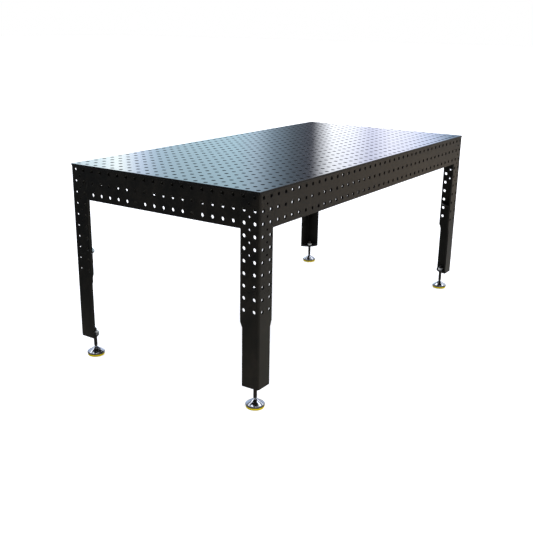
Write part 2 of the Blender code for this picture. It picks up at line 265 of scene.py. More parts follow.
def stud_material():
    """Blackened thread, lighter on the crests: partly rubbed there by the nut and plate, partly a painted
    highlight.
    """
    g = Graph("blackened_stud")
    rub = g.noise(60.0, 5, 0.65, 0.3)
    fine = g.noise(1200.0, 3, 0.6)
    split = g.add("ShaderNodeSeparateXYZ")
    g.join(g.place, split.inputs[0])
    radius = g.math(
        "SQRT",
        g.math(
            "ADD",
            g.math("MULTIPLY", split.outputs["X"], split.outputs["X"]),
            g.math("MULTIPLY", split.outputs["Y"], split.outputs["Y"]),
        ),
    )
    crest_rub_and_highlight = g.level(radius, 0.0070, 0.0080, 0.0, 1.0)
    colour = g.ramp(
        rub, [(0.3, (0.012, 0.011, 0.010)), (0.6, (0.030, 0.027, 0.024)), (0.8, (0.07, 0.062, 0.055))]
    )
    # Lighter crests: part rubbed wear, part painted highlight.
    colour = g.blend(g.math("MULTIPLY", crest_rub_and_highlight, 0.45), colour, (0.13, 0.12, 0.11))
    rough = g.level(rub, 0.3, 0.7, 0.34, 0.52)
    return g.finish(
        colour, rough, g.bump(fine, 0.2, 0.00003), Metallic=0.35, Specular_IOR_Level=0.3
    )


def zinc_material():
    """Bright zinc plating: small crystals, a faint blue and straw tint."""
    g = Graph("bright_zinc")
    crystals = g.cells(420.0, out="Color")
    clouds = g.noise(110.0, 5, 0.6)
    fine = g.noise(1800.0, 3, 0.6)
    colour = g.ramp(
        clouds, [(0.3, (0.66, 0.71, 0.80)), (0.5, (0.82, 0.85, 0.90)), (0.72, (0.86, 0.85, 0.80))]
    )
    grey = g.add("ShaderNodeRGBToBW")
    g.join(crystals, grey.inputs[0])
    colour = g.blend(g.level(grey.outputs[0], 0.2, 0.8, 0.0, 0.16), colour, (0.42, 0.44, 0.47))
    rough = g.level(clouds, 0.3, 0.7, 0.32, 0.46)
    return g.finish(colour, rough, g.bump(fine, 0.15, 0.00003), Metallic=1.0)


def chrome_material():
    """A turned and polished bell: fine rings round the axis and light smears."""
    g = Graph("polished_turned_bell")
    split = g.add("ShaderNodeSeparateXYZ")
    g.join(g.place, split.inputs[0])
    radius = g.math(
        "SQRT",
        g.math(
            "ADD",
            g.math("MULTIPLY", split.outputs["X"], split.outputs["X"]),
            g.math("MULTIPLY", split.outputs["Y"], split.outputs["Y"]),
        ),
    )
    join = g.add("ShaderNodeCombineXYZ")
    g.join(g.math("MULTIPLY", radius, 5200.0), join.inputs[0])
    g.join(g.math("MULTIPLY", split.outputs["Z"], 3000.0), join.inputs[1])
    rings = g.noise(1.0, 3, 0.6, 0.0, join.outputs[0])
    smears = g.noise(60.0, 5, 0.6, 0.8)
    fine = g.noise(700.0, 4, 0.6)
    colour = g.ramp(
        smears, [(0.3, (0.50, 0.52, 0.56)), (0.55, (0.62, 0.64, 0.68)), (0.8, (0.56, 0.54, 0.50))]
    )
    rough = g.level(smears, 0.3, 0.7, 0.06, 0.13)
    rough = g.math("ADD", rough, g.level(fine, 0.45, 0.75, 0.0, 0.05))
    normal = g.bump(rings, 0.8, 0.00007)
    # Painted shade: the bell's lower rim is painted near-black.
    rim = g.level(split.outputs["Z"], -0.0128, -0.0108, 0.88, 0.0)
    colour = g.blend(rim, colour, (0.05, 0.048, 0.045))
    return g.finish(colour, rough, normal, Metallic=1.0)


def rubber_material():
    """Moulded yellow rubber with a matt skin, fine pores and scuffs near the floor."""
    g = Graph("yellow_moulded_rubber")
    clouds = g.noise(70.0, 5, 0.6)
    pores = g.cells(900.0)
    fine = g.noise(1500.0, 3, 0.6)
    split = g.add("ShaderNodeSeparateXYZ")
    g.join(g.place, split.inputs[0])
    colour = g.ramp(
        clouds, [(0.3, (0.74, 0.56, 0.0005)), (0.55, (0.86, 0.69, 0.001)), (0.8, (0.92, 0.77, 0.004))]
    )
    low = g.level(split.outputs["Z"], -0.0297, -0.0272, 1.0, 0.0)
    scuff = g.math("MULTIPLY", low, g.level(clouds, 0.35, 0.65, 0.15, 0.75))
    colour = g.blend(scuff, colour, (0.20, 0.16, 0.06))
    rough = g.level(clouds, 0.3, 0.7, 0.48, 0.66)
    normal = g.bump(pores, 0.12, 0.00005)
    normal = g.bump(fine, 0.15, 0.00004, normal)
    return g.finish(colour, rough, normal, Metallic=0.0, Specular_IOR_Level=0.2)


def nylon_material():
    g = Graph("black_nylon")
    clouds = g.noise(220.0, 4, 0.6)
    colour = g.ramp(clouds, [(0.3, (0.020, 0.020, 0.021)), (0.7, (0.050, 0.050, 0.052))])
    rough = g.level(clouds, 0.3, 0.7, 0.40, 0.55)
    return g.finish(colour, rough, g.bump(g.noise(2000.0, 2, 0.5), 0.1, 0.00003), Metallic=0.0)


TOP = work_surface_material()
BLACK = black_steel_material("black_side_steel", (0.0020, 0.0019, 0.0018), (0.0150, 0.0118, 0.0085))
# A darker, rougher copy of the black steel: painted shade for hole walls, cut edges, backs, ribs and other faces
# inside or under the table.
BLACK_PAINTED_SHADE = black_steel_material("black_steel_painted_shade", (0.0018, 0.0018, 0.0018), (0.0075, 0.0068, 0.0060), gloss=-0.05)
EDGE = worn_edge_material("worn_cut_edge", (0.010, 0.0095, 0.009), (0.075, 0.072, 0.068))
RIM = worn_edge_material("work_surface_rim", (0.045, 0.046, 0.052), (0.22, 0.22, 0.235))
WELD = weld_material()
STUD = stud_material()
ZINC = zinc_material()
CHROME = chrome_material()
RUBBER = rubber_material()
NYLON = nylon_material()


# ===================================================================== geometry
def ccw(loop):
    area = sum(a[0] * b[1] - b[0] * a[1] for a, b in zip(loop, loop[1:] + loop[:1]))
    return loop if area > 0 else loop[::-1]


def grown(loop, by):
    """An anticlockwise loop moved outwards by a distance, with mitred corners."""
    points = np.array(loop, float)
    ahead = np.roll(points, -1, axis=0) - points
    ahead /= np.linalg.norm(ahead, axis=1)[:, None]
    out = np.stack([ahead[:, 1], -ahead[:, 0]], axis=1)
    before = np.roll(out, 1, axis=0)
    share = (out + before) / (1 + (out * before).sum(axis=1))[:, None]
    return points + by * share


def ring(x, y, radius, sides):
    angles = 2 * np.pi * (np.arange(sides) + 0.5) / sides
    return list(zip(x + radius * np.cos(angles), y + radius * np.sin(angles)))


def inside(point, polygon):
    x, y = point
    found = False
    for (x1, y1), (x2, y2) in zip(polygon, polygon[1:] + polygon[:1]):
        if (y1 > y) != (y2 > y) and x < (x2 - x1) * (y - y1) / (y2 - y1) + x1:
            found = not found
    return found


def fill(loops, lines):
    """Triangles between an outline and its holes, as indices into the loops' points."""
    points = [p for loop in loops for p in loop]
    owner = [k for k, loop in enumerate(loops) for _ in loop]
    edges, base = [], 0
    for loop in loops:
        n = len(loop)
        edges += [(base + i, base + (i + 1) % n) for i in range(n)]
        base += n
    found, _, faces, origin, _, _ = delaunay_2d_cdt(
        [Vector(p) for p in points], edges + list(lines), [], 0, 1e-6
    )
    source = [o[0] for o in origin]
    outline = [tuple(p) for p in loops[0]]
    kept = []
    for face in faces:
        ids = [source[i] for i in face]
        owners = {owner[i] for i in ids}
        if len(owners) == 1:
            if owners != {0}:
                continue
            middle = np.mean([points[i] for i in ids], axis=0)
            if not inside(middle, outline):
                continue
        kept.append(ids)
    return kept


def plate(
    outline, holes, thick, hole_cham=0.6, edge_cham=0.4, back_cham=0.3, lines=(), wall=0, back=0
):
    """A cut plate as (points, faces, slots), in (u, v, depth below its outer face).

    Slot 0 is the skin and slot 1 the broken outer edges; the cut walls and the back
    take the slots given.
    """
    loops = [ccw(list(outline))] + [ccw(list(h)) for h in holes]
    counts = [len(l) for l in loops]
    total = sum(counts)
    levels = []
    for depth, cut in ((0.0, 1), (None, 0), (None, 0), (thick, 2)):
        rows = []
        for k, loop in enumerate(loops):
            cham = (edge_cham if k == 0 else hole_cham) if cut == 1 else (back_cham if cut == 2 else 0.0)
            moved = grown(loop, -cham if k == 0 else cham) if cham else np.array(loop, float)
            if cut == 0:
                broken = edge_cham if k == 0 else hole_cham
                at = broken if len(levels) == 1 else thick - back_cham
            else:
                at = depth
            rows.append(np.column_stack([moved, np.full(len(loop), at)]))
        levels.append(np.concatenate(rows))
    points = np.concatenate(levels)
    faces, slots = [], []
    base = 0
    for k, n in enumerate(counts):
        for band in range(3):
            a, b = band * total + base, (band + 1) * total + base
            for i in range(n):
                j = (i + 1) % n
                quad = (a + i, a + j, b + j, b + i)
                faces.append(quad if k else quad[::-1])
                slots.append((1 if k == 0 or not wall else wall) if band == 0 else wall)
        base += n
    for level, flip in ((0, True), (3, False)):
        part = levels[level][:, :2]
        cut_loops, start = [], 0
        for n in counts:
            cut_loops.append([tuple(p) for p in part[start : start + n]])
            start += n
        for tri in fill(cut_loops, lines):
            a, b, c = (points[level * total + i][:2] for i in tri)
            up = (b[0] - a[0]) * (c[1] - a[1]) - (b[1] - a[1]) * (c[0] - a[0]) > 0
            tri = [level * total + i for i in tri]
            faces.append(tuple(tri if up != (level == 0) else tri[::-1]))
            slots.append(back if level else 0)
    return points, faces, slots


def make(name, points, faces, slots, skins, place=None, smooth=30.0):
    """A mesh object in metres from points in millimetres, its faces turned outwards."""
    mesh = bpy.data.meshes.new(name)
    mesh.from_pydata((np.asarray(points) * MM).tolist(), [], faces)
    if slots is not None:
        mesh.polygons.foreach_set("material_index", slots)
    for skin in skins:
        mesh.materials.append(skin)
    bm = bmesh.new()
    bm.from_mesh(mesh)
    bmesh.ops.recalc_face_normals(bm, faces=bm.faces)
    bm.to_mesh(mesh)
    bm.free()
    mesh.shade_smooth()
    mesh.set_sharp_from_angle(angle=math.radians(smooth))
    made = bpy.data.objects.new(name, mesh)
    bpy.context.scene.collection.objects.link(made)
    if place is not None:
        made.matrix_world = place
    return made


def copy_of(made, name, place):
    twin = bpy.data.objects.new(name, made.data)
    bpy.context.scene.collection.objects.link(twin)
    twin.matrix_world = place
    return twin


def at(x, y, z, turn=0.0):
    return Matrix.Translation((x * MM, y * MM, z * MM)) @ Matrix.Rotation(turn, 4, "Z")


def lathe(name, profile, skin, sides=96, smooth=32.0, closed=False):
    """A turned piece from (radius, height) points in mm, from its top round to its bottom."""
    points, faces, rows = [], [], []
    for r, z in profile:
        if r < 1e-6:
            rows.append([len(points)] * sides)
            points.append((0.0, 0.0, z))
        else:
            rows.append(list(range(len(points), len(points) + sides)))
            for k in range(sides):
                a = 2 * math.pi * k / sides
                points.append((r * math.cos(a), r * math.sin(a), z))
    pairs = list(zip(rows, rows[1:]))
    if closed:
        pairs.append((rows[-1], rows[0]))
    for upper, lower in pairs:
        for k in range(sides):
            n = (k + 1) % sides
            face = []
            for v in (upper[k], lower[k], lower[n], upper[n]):
                if v not in face:
                    face.append(v)
            if len(face) > 2:
                faces.append(tuple(face))
    return make(name, points, faces, None, [skin], None, smooth)


def rounded(points, radius, steps=4):
    """A profile with each inner corner rounded; radius may be one number or one a point."""
    out = [points[0]]
    for i in range(1, len(points) - 1):
        r = radius[i] if isinstance(radius, (list, tuple)) else radius
        p, q, s = (np.array(points[k], float) for k in (i - 1, i, i + 1))
        a, b = p - q, s - q
        la, lb = np.linalg.norm(a), np.linalg.norm(b)
        turn = math.acos(max(-1.0, min(1.0, float(a @ b) / (la * lb))))
        if r <= 0 or turn > math.pi - 0.03:
            out.append(tuple(q))
            continue
        back = min(r / math.tan(turn / 2), 0.45 * la, 0.45 * lb)
        start, end = q + a / la * back, q + b / lb * back
        for k in range(steps + 1):
            t = k / steps
            out.append(tuple((1 - t) ** 2 * start + 2 * t * (1 - t) * q + t**2 * end))
    out.append(points[-1])
    return out


# -------------------------------------------------------------- work surface
def grid(half):
    return [-half + FIRST + PITCH * i for i in range(round(2 * half / PITCH))]


def soft_rectangle(x0, y0, x1, y1, r, steps=4):
    points = []
    for cx, cy, start in (
        (x1 - r, y1 - r, 0.0),
        (x0 + r, y1 - r, 90.0),
        (x0 + r, y0 + r, 180.0),
        (x1 - r, y0 + r, 270.0),
    ):
        for k in range(steps + 1):
            a = math.radians(start + 90.0 * k / steps)
            points.append((cx + r * math.cos(a), cy + r * math.sin(a)))
    return points


holes = [ring(x, y, HOLE_R, 24) for x in grid(HALF_L) for y in grid(HALF_W)]
points, faces, slots = plate(
    soft_rectangle(-HALF_L, -HALF_W, HALF_L, HALF_W, 2.5),
    holes,
    TOP_T,
    1.3,
    0.8,
    0.3,
    wall=3,
    back=3,
)
points = np.column_stack([points[:, 0], points[:, 1], -points[:, 2]])
# The hole walls and chamfers, the outer edge and the underside take the darker steel: painted shade.
surface = make(
    "perforated_work_surface", points, faces, slots, [TOP, RIM, BLACK, BLACK_PAINTED_SHADE], at(0, 0, HEIGHT)
)
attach(surface, "table")
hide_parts("top_plate")


# ----------------------------------------------------------------------- skirts
def skirt(name, node, half, place):
    reach = half - LEG_WIDE - 0.15
    low, high = SKIRT_LOW - HEIGHT, -TOP_T - 0.15
    outline = [(-reach, low), (reach, low), (reach, high), (-reach, high)]
    cuts = [
        ring(u, -FIRST - PITCH * row, HOLE_R, 24)
        for u in grid(half)
        if abs(u) < reach - HOLE_R
        for row in range(3)
    ]
    points, faces, slots = plate(outline, cuts, SIDE_T, 0.5, 0.35, 0.3, wall=2, back=2)
    # u runs along the side, v up it, and depth inwards
    points = np.column_stack([points[:, 0], points[:, 2], points[:, 1]])
    # The hole walls, cut edges and inside face take the darker steel: painted shade.
    made = make(name, points, faces, slots, [BLACK, EDGE, BLACK_PAINTED_SHADE], place)
    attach(made, "table")
    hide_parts(node)
    return made


skirt("perforated_skirt_front", "skirt_front", HALF_L, at(0, -HALF_W, HEIGHT))
skirt("perforated_skirt_rear", "skirt_rear", HALF_L, at(0, HALF_W, HEIGHT, math.pi))
skirt("perforated_skirt_right", "skirt_right", HALF_W, at(HALF_L, 0, HEIGHT, math.pi / 2))
skirt("perforated_skirt_left", "skirt_left", HALF_W, at(-HALF_L, 0, HEIGHT, -math.pi / 2))

# ------------------------------------------------------------------------- legs
BEND_R, HALF_BEND, BEND_STEPS = 10.0, 7.8, 8
TAB_FROM, TAB_TO = 26.0, 64.0
gusset_depth = HEIGHT - gusset_high.z
gusset_t = gusset_high.z - gusset_low.z


def along(u):
    """Distance round the flat blank for a distance u from the outside corner."""
    return HALF_BEND + (u - BEND_R)


def fold(points):
    """Bends the blank: (s, v, depth) becomes the front left leg's x, y, z."""
    s, v, n = points.T
    x, y = np.empty_like(s), np.empty_like(s)
    flat_x, flat_y = s > HALF_BEND, s < -HALF_BEND
    x[flat_x], y[flat_x] = BEND_R + s[flat_x] - HALF_BEND, n[flat_x]
    x[flat_y], y[flat_y] = n[flat_y], BEND_R - s[flat_y] - HALF_BEND
    turn = ~(flat_x | flat_y)
    a = np.pi / 4 * (1 + s[turn] / HALF_BEND)
    x[turn] = BEND_R - (BEND_R - n[turn]) * np.cos(a)
    y[turn] = BEND_R - (BEND_R - n[turn]) * np.sin(a)
    return np.column_stack([x, y, v])


top_v = -TOP_T - 0.15
wide, narrow = along(LEG_WIDE), along(80.0)
bends = [HALF_BEND * (2 * k / BEND_STEPS - 1) for k in range(BEND_STEPS + 1)]
end_v = LEG_END - HEIGHT
outline = (
    [(-narrow, end_v)]
    + [(s, end_v) for s in bends]
    + [(narrow, end_v), (narrow, -550.0), (wide, -525.0), (wide, top_v)]
    + [(s, top_v) for s in reversed(bends)]
    + [(-wide, top_v), (-wide, -525.0), (-narrow, -550.0)]
)
cuts = []
for side in (1, -1):
    for u in (FIRST, FIRST + PITCH):
        cuts += [ring(side * along(u), -FIRST - PITCH * row, HOLE_R, 24) for row in range(10)]
    cuts += [ring(side * along(PITCH), -PITCH * (row + 1), TIE_R, 18) for row in range(5)]
    for low, high in (
        (-gusset_depth - gusset_t - 0.25, -gusset_depth + 0.25),
    ):
        a, b = sorted((side * along(TAB_FROM - 0.3), side * along(TAB_TO + 0.3)))
        cuts.append([(a, low), (b, low), (b, high), (a, high)])
first_low = 1
first_high = len(bends) + 1 + 4
lines = [
    (first_low + k, first_high + len(bends) - 1 - k) for k in range(len(bends))
]
# The cut walls and the inside face take the darker steel: painted shade.
points, faces, slots = plate(outline, cuts, SIDE_T, 0.5, 0.4, 0.3, lines, 2, 2)
master = None
for corner, (sx, sy, turn) in CORNERS.items():
    place = at(sx * HALF_L, sy * HALF_W, HEIGHT, turn)
    if master is None:
        master = make(
            "folded_leg_" + corner, fold(points), faces, slots, [BLACK, EDGE, BLACK_PAINTED_SHADE], place
        )
        leg = master
    else:
        leg = copy_of(master, "folded_leg_" + corner, place)
    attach(leg, "table")
    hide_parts("leg_" + corner)


# ----------------------------------------------------- gussets and foot plates
def quarter(radius, low, clip, tabs):
    """A quarter circle about the leg's outside corner, with tabs through both flanges."""
    first = math.asin(low / radius)
    arc = [
        (
            radius * math.cos(first + (math.pi / 2 - 2 * first) * k / 28),
            radius * math.sin(first + (math.pi / 2 - 2 * first) * k / 28),
        )
        for k in range(29)
    ]
    along_x = [(clip, low)]
    along_y = [(low, clip)]
    if tabs:
        a, b = tabs
        along_x += [(a, low), (a, 0.35), (b, 0.35), (b, low)]
        along_y = [(low, b), (0.35, b), (0.35, a), (low, a)] + along_y
    return along_x + arc + along_y


def level_plate(name, outline, cuts, thick, place, skins, rest=0):
    points, faces, slots = plate(outline, cuts, thick, 0.5, 0.5, 0.4, wall=rest, back=rest)
    points = np.column_stack([points[:, 0], points[:, 1], -points[:, 2]])
    return make(name, points, faces, slots, skins, place)


gusset_outline = quarter(80.0, SIDE_T + 0.1, 11.0, (TAB_FROM, TAB_TO))
plate_outline = quarter(80.0, SIDE_T + 0.1, 11.0, None)
plate_t = plate_high.z - plate_low.z
foot_inset = HALF_L - FOOT_X
gusset = footing = None
for corner, (sx, sy, turn) in CORNERS.items():
    place = at(sx * HALF_L, sy * HALF_W, gusset_high.z, turn)
    if gusset is None:
        gusset = level_plate(
            "gusset_" + corner, gusset_outline, [], gusset_t, place, [TOP, BLACK_PAINTED_SHADE, BLACK], 2
        )
        made = gusset
    else:
        made = copy_of(gusset, "gusset_" + corner, place)
    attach(made, "table")
    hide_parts("leg_gusset_" + corner)
    place = at(sx * HALF_L, sy * HALF_W, plate_high.z, turn)
    if footing is None:
        footing = level_plate(
            "stud_plate_" + corner,
            plate_outline,
            [ring(foot_inset, foot_inset, 8.15, 40)],
            plate_t,
            place,
            [TOP, BLACK_PAINTED_SHADE, BLACK],
            2,
        )
        made = footing
    else:
        made = copy_of(footing, "stud_plate_" + corner, place)
    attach(made, "table")
    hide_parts("foot_plate_" + corner)

# ------------------------------------------------------------------------- ribs
rib_low, rib_high = (v * 1000 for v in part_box("rib_long_front"))
RIB_Y = -(rib_low.y + rib_high.y) / 2
RIB_T = rib_high.y - rib_low.y
RIB_END = rib_high.x
HAUNCH_LOW = rib_low.z - HEIGHT
RIB_TOP = rib_high.z - HEIGHT
LONG_LOW = -105.0
cross_x, cross_lows, cross_end = [], [], 0.0
for number in range(1, 6):
    low, high = (v * 1000 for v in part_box(f"rib_cross_{number}"))
    cross_x.append((low.x + high.x) / 2)
    cross_lows.append(low.z - HEIGHT)
    cross_end = high.y
SLOT, LAP = RIB_T / 2 + 0.2, -50.0


def upright(name, outline, cuts, place, node):
    points, faces, slots = plate(outline, cuts, RIB_T, 0.4, 0.4, 0.4)
    points = np.column_stack([points[:, 0], points[:, 2] - RIB_T / 2, points[:, 1]])
    # The ribs take the darker steel: painted shade under the work surface.
    made = make(name, points, faces, slots, [BLACK_PAINTED_SHADE, EDGE], place)
    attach(made, "table")
    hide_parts(node)
    return made


def eased(a, b, c, steps=5):
    """A short curve from a to c that leaves the corner b."""
    return [
        tuple(
            (1 - t) ** 2 * np.array(a) + 2 * t * (1 - t) * np.array(b) + t**2 * np.array(c)
        )
        for t in np.linspace(0, 1, steps + 1)
    ]


long_outline = [(-RIB_END, RIB_TOP), (-RIB_END, HAUNCH_LOW)]
long_outline += eased((-RIB_END + 29, HAUNCH_LOW), (-RIB_END + 35, HAUNCH_LOW), (-RIB_END + 39, HAUNCH_LOW + 4))
long_outline += eased((-RIB_END + 71, LONG_LOW - 4), (-RIB_END + 75, LONG_LOW), (-RIB_END + 81, LONG_LOW))
for x in cross_x:
    long_outline += [(x - SLOT, LONG_LOW), (x - SLOT, LAP), (x + SLOT, LAP), (x + SLOT, LONG_LOW)]
long_outline += [(-x, y) for x, y in eased((-RIB_END + 71, LONG_LOW - 4), (-RIB_END + 75, LONG_LOW), (-RIB_END + 81, LONG_LOW))[::-1]]
long_outline += [(-x, y) for x, y in eased((-RIB_END + 29, HAUNCH_LOW), (-RIB_END + 35, HAUNCH_LOW), (-RIB_END + 39, HAUNCH_LOW + 4))[::-1]]
long_outline += [(RIB_END, HAUNCH_LOW), (RIB_END, RIB_TOP)]
upright("stiffener_long_front", long_outline, [], at(0, -RIB_Y, HEIGHT), "rib_long_front")
upright("stiffener_long_rear", long_outline, [], at(0, RIB_Y, HEIGHT), "rib_long_rear")

RIB_FULL, RIB_EASED, END_LOW = 360.0, 440.0, -92.0
for number, (x, low) in enumerate(zip(cross_x, cross_lows), 1):
    cross_outline = [(-cross_end, RIB_TOP), (-cross_end, END_LOW)]
    if low < END_LOW - 1:
        # the outer two reach further down, between their sloped ends
        slope = eased((-RIB_EASED - 5, END_LOW), (-RIB_EASED, END_LOW), (-RIB_EASED + 4.5, END_LOW - 2.2))
        slope += eased((-RIB_FULL - 4.5, low + 2.2), (-RIB_FULL, low), (-RIB_FULL + 5, low))
        cross_outline += slope + [(-y, z) for y, z in slope[::-1]]
    cross_outline += [(cross_end, END_LOW), (cross_end, RIB_TOP)]
    for y in (RIB_Y, -RIB_Y):
        cross_outline += [
            (y + SLOT, RIB_TOP),
            (y + SLOT, LAP - 0.2),
            (y - SLOT, LAP - 0.2),
            (y - SLOT, RIB_TOP),
        ]
    upright(
        f"stiffener_cross_{number}",
        cross_outline,
        [],
        at(x, 0, HEIGHT, math.pi / 2),
        f"rib_cross_{number}",
    )

# ------------------------------------------------------------------ weld beads
rng = np.random.default_rng(7)
bead_points, bead_faces = [], []


def bead(start, end, a, b, size):
    """One fillet weld along start-end, filling the corner between directions a and b."""
    start, end, a, b = (np.array(v, float) for v in (start, end, a, b))
    length = np.linalg.norm(end - start)
    steps = max(6, int(length / 1.5))
    phase = rng.uniform(0, 6.28)
    base = len(bead_points)
    section = 5
    for i in range(steps + 1):
        t = i / steps
        fade = min(1.0, 0.35 + 3.2 * min(t, 1 - t) * length / 12.0)
        ripple = 1 + 0.07 * math.sin(phase + 2 * math.pi * i / 3) + 0.04 * rng.uniform(-1, 1)
        s = size * fade * ripple
        middle = start + (end - start) * t
        bead_points.append(tuple(middle - 0.35 * (a + b)))
        for k in range(section):
            f = k / (section - 1)
            swell = 1 + 0.16 * math.sin(math.pi * f)
            angle = f * math.pi / 2
            ca, cb = (1 - f) * swell, f * swell
            reach = middle + s * (a * (ca * 0.6 + 0.4 * math.cos(angle)) + b * (cb * 0.6 + 0.4 * math.sin(angle)))
            # the toes sink a little into both plates
            if k == 0:
                reach -= 0.35 * b
            if k == section - 1:
                reach -= 0.35 * a
            bead_points.append(tuple(reach))
    row = section + 1
    for i in range(steps):
        for k in range(row):
            n = (k + 1) % row
            p, q = base + i * row, base + (i + 1) * row
            bead_faces.append((p + k, p + n, q + n, q + k))
    bead_faces.append(tuple(base + k for k in range(row)))
    bead_faces.append(tuple(base + steps * row + k for k in range(row))[::-1])


under = HEIGHT - TOP_T
# ribs to the work surface's underside, both sides, in stitches
for y in (-RIB_Y, RIB_Y):
    for side in (-1, 1):
        face = y + side * RIB_T / 2
        for x in np.arange(-900.0, 901.0, 200.0):
            x = x + 12 * side
            bead((x - 22, face, under), (x + 22, face, under), (0, side, 0), (0, 0, -1), 4.5)
for x in cross_x:
    for side in (-1, 1):
        face = x + side * RIB_T / 2
        for y in (-400.0, -250.0, 0.0, 250.0, 400.0):
            y = y + 10 * side
            bead((face, y - 20, under), (face, y + 20, under), (side, 0, 0), (0, 0, -1), 4.5)
        # down the corners of each crossing, below the lap
        for y in (-RIB_Y, RIB_Y):
            for other in (-1, 1):
                bead(
                    (face, y + other * RIB_T / 2, HEIGHT - 88),
                    (face, y + other * RIB_T / 2, HEIGHT - 56),
                    (side, 0, 0),
                    (0, other, 0),
                    3.6,
                )
# skirts to the work surface's underside
for side in (-1, 1):
    face = side * (HALF_W - SIDE_T)
    for x in np.arange(-800.0, 801.0, 200.0):
        x = x + 25 * side if abs(x) < 790 else x * 0.99
        bead((x - 24, face, under), (x + 24, face, under), (0, -side, 0), (0, 0, -1), 4.5)
    face = side * (HALF_L - SIDE_T)
    for y in (-330.0, -70.0, 70.0, 330.0):
        bead((face, y - 24, under), (face, y + 24, under), (-side, 0, 0), (0, 0, -1), 4.5)
    # rib ends to the skirts
    for y in (-RIB_Y, RIB_Y):
        for other in (-1, 1):
            bead(
                (face, y + other * RIB_T / 2, HEIGHT + HAUNCH_LOW + 4),
                (face, y + other * RIB_T / 2, HEIGHT - 30),
                (-side, 0, 0),
                (0, other, 0),
                4.5,
            )
    face = side * (HALF_W - SIDE_T)
    for x in cross_x:
        for other in (-1, 1):
            bead(
                (x + other * RIB_T / 2, face, HEIGHT - 88),
                (x + other * RIB_T / 2, face, HEIGHT - 24),
                (0, -side, 0),
                (other, 0, 0),
                4.2,
            )
# gussets and foot plates to the legs, and skirts to the legs' edges
for sx, sy, _ in CORNERS.values():
    cx, cy = sx * HALF_L, sy * HALF_W

    def spot(u, v, z):
        return (cx - sx * u, cy - sy * v, z)

    for z, down, reach in (
        (gusset_low.z, -1, (16.0, 72.0)),
        (plate_high.z, 1, (14.0, 76.0)),
    ):
        bead(spot(reach[0], SIDE_T, z), spot(reach[1], SIDE_T, z), (0, -sy, 0), (0, 0, down), 3.8)
        bead(spot(SIDE_T, reach[0], z), spot(SIDE_T, reach[1], z), (-sx, 0, 0), (0, 0, down), 3.8)
    for z0, z1 in ((HEIGHT - 140, HEIGHT - 84), (HEIGHT - 66, HEIGHT - 14)):
        # flat beads over the butt joints inside
        bead(spot(LEG_WIDE, SIDE_T, z0), spot(LEG_WIDE, SIDE_T, z1), (-sx, -0.02 * sy, 0), (sx * 0.9, -0.45 * sy, 0), 3.2)
        bead(spot(SIDE_T, LEG_WIDE, z0), spot(SIDE_T, LEG_WIDE, z1), (-0.02 * sx, -sy, 0), (-0.45 * sx, sy * 0.9, 0), 3.2)

beads = make("weld_beads", bead_points, bead_faces, None, [WELD], None, 50.0)
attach(beads, "table")

# ------------------------------------------------------------------------- feet
STUD_R, CORE_R, THREAD = 8.0, 6.85, 2.0


def thread_rows(low, high, columns):
    """A right-hand 60 degree thread as one sheared grid, pinched to the core at its ends."""
    profile = [(0.0, CORE_R), (0.20, CORE_R), (0.54, STUD_R), (0.66, STUD_R)]
    m = len(profile)
    first = math.floor(low / THREAD) - 2
    last = math.ceil(high / THREAD) + 2
    rows = [(turn + f, r) for turn in range(first, last) for f, r in profile]
    points = []
    for pitch_at, r in rows:
        for k in range(columns):
            a = 2 * math.pi * k / columns
            z = (pitch_at + k / columns) * THREAD
            fade = min(1.0, max(0.0, (z - low) / 1.2), max(0.0, (high - z) / 1.2))
            rr = CORE_R + (r - CORE_R) * fade
            z = min(max(z, low), high)
            points.append((rr * math.cos(a), rr * math.sin(a), z))
    faces = []
    n = len(rows)
    for i in range(n - 1):
        for k in range(columns - 1):
            a, b = i * columns + k, (i + 1) * columns + k
            faces.append((a, a + 1, b + 1, b))
        # the seam joins one whole turn higher
        if i - m >= 0:
            a, b = i * columns + columns - 1, (i + 1) * columns + columns - 1
            c, d = (i - m + 0) * columns, (i - m + 1) * columns
    for i in range(n - 1 - m):
        a, b = i * columns + columns - 1, (i + 1) * columns + columns - 1
        c, d = (i + m) * columns, (i + 1 + m) * columns
        faces.append((a, c, d, b))
    return points, faces


def clean(mesh, dist):
    bm = bmesh.new()
    bm.from_mesh(mesh)
    bmesh.ops.remove_doubles(bm, verts=bm.verts, dist=dist)
    bmesh.ops.dissolve_degenerate(bm, edges=bm.edges, dist=dist * 0.5)
    loose = [v for v in bm.verts if not v.link_faces]
    bmesh.ops.delete(bm, geom=loose, context="VERTS")
    return bm


